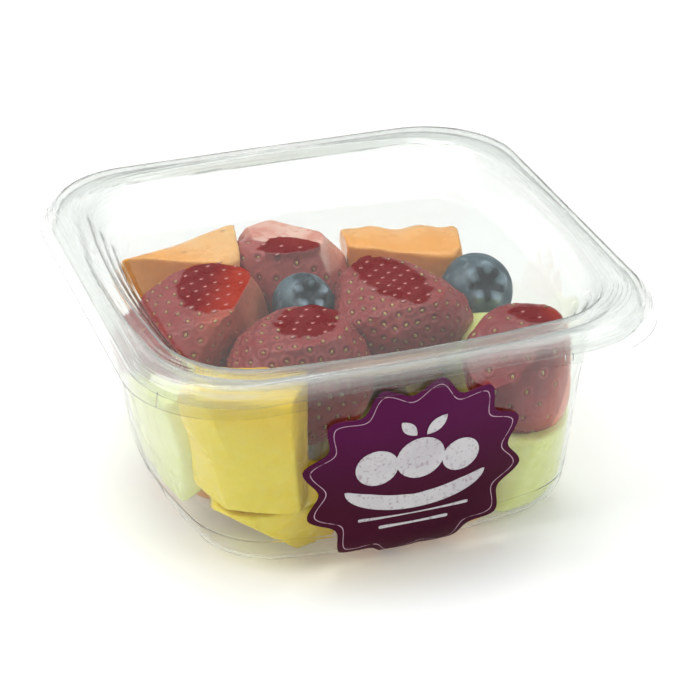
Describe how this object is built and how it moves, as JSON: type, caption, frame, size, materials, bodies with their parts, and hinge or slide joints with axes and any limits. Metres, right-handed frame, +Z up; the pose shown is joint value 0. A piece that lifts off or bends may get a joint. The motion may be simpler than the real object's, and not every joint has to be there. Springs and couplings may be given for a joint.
{
  "type": "fruit cup",
  "caption": "Clear square deli tub of cut fruit under a recessed snap lid: strawberries, blueberries, melon and mango, with a wavy-edged star seal on its front wall.",
  "frame": {"origin": "middle of the tub's base, on the surface that it stands on", "axes": "+Z up, -Y out of the front wall that carries the seal, +X to the right seen from the front"},
  "size_m": [0.1272, 0.1272, 0.0594],
  "materials": {
    "clear_plastic": "clear thin thermoformed plastic, glossy, faintly grey-green at its edges, fogged a little under the lid",
    "seal_paper": "satin plum-purple printed paper with a thin pale pink line inset from its wavy edge",
    "strawberry": "moist red skin with sunken olive seeds, pink-white where it is cut",
    "blueberry": "dark blue skin under a pale dusty bloom, dark in the crown",
    "cantaloupe": "moist pale orange flesh, deeper orange towards its seed side",
    "honeydew": "moist pale green flesh, faintly fibrous",
    "mango": "moist bright yellow flesh, faintly fibrous"
  },
  "bodies": {
    "root": {"tub": "clear_plastic", "lid": "clear_plastic", "seal": "seal_paper", "strawberry_left": "strawberry", "strawberry_back": "strawberry", "strawberry_front": "strawberry", "strawberry_middle": "strawberry", "strawberry_right": "strawberry", "blueberry_middle": "blueberry", "blueberry_right": "blueberry", "cantaloupe_left": "cantaloupe", "cantaloupe_right": "cantaloupe", "mango_front": "mango", "mango_low": "mango", "honeydew_left": "honeydew", "honeydew_front": "honeydew", "honeydew_middle": "honeydew", "cantaloupe_front": "cantaloupe", "cantaloupe_low": "cantaloupe", "honeydew_low": "honeydew", "mango_right": "mango", "honeydew_back": "honeydew", "mango_back": "mango", "honeydew_corner": "honeydew"}
  },
  "joints": []
}
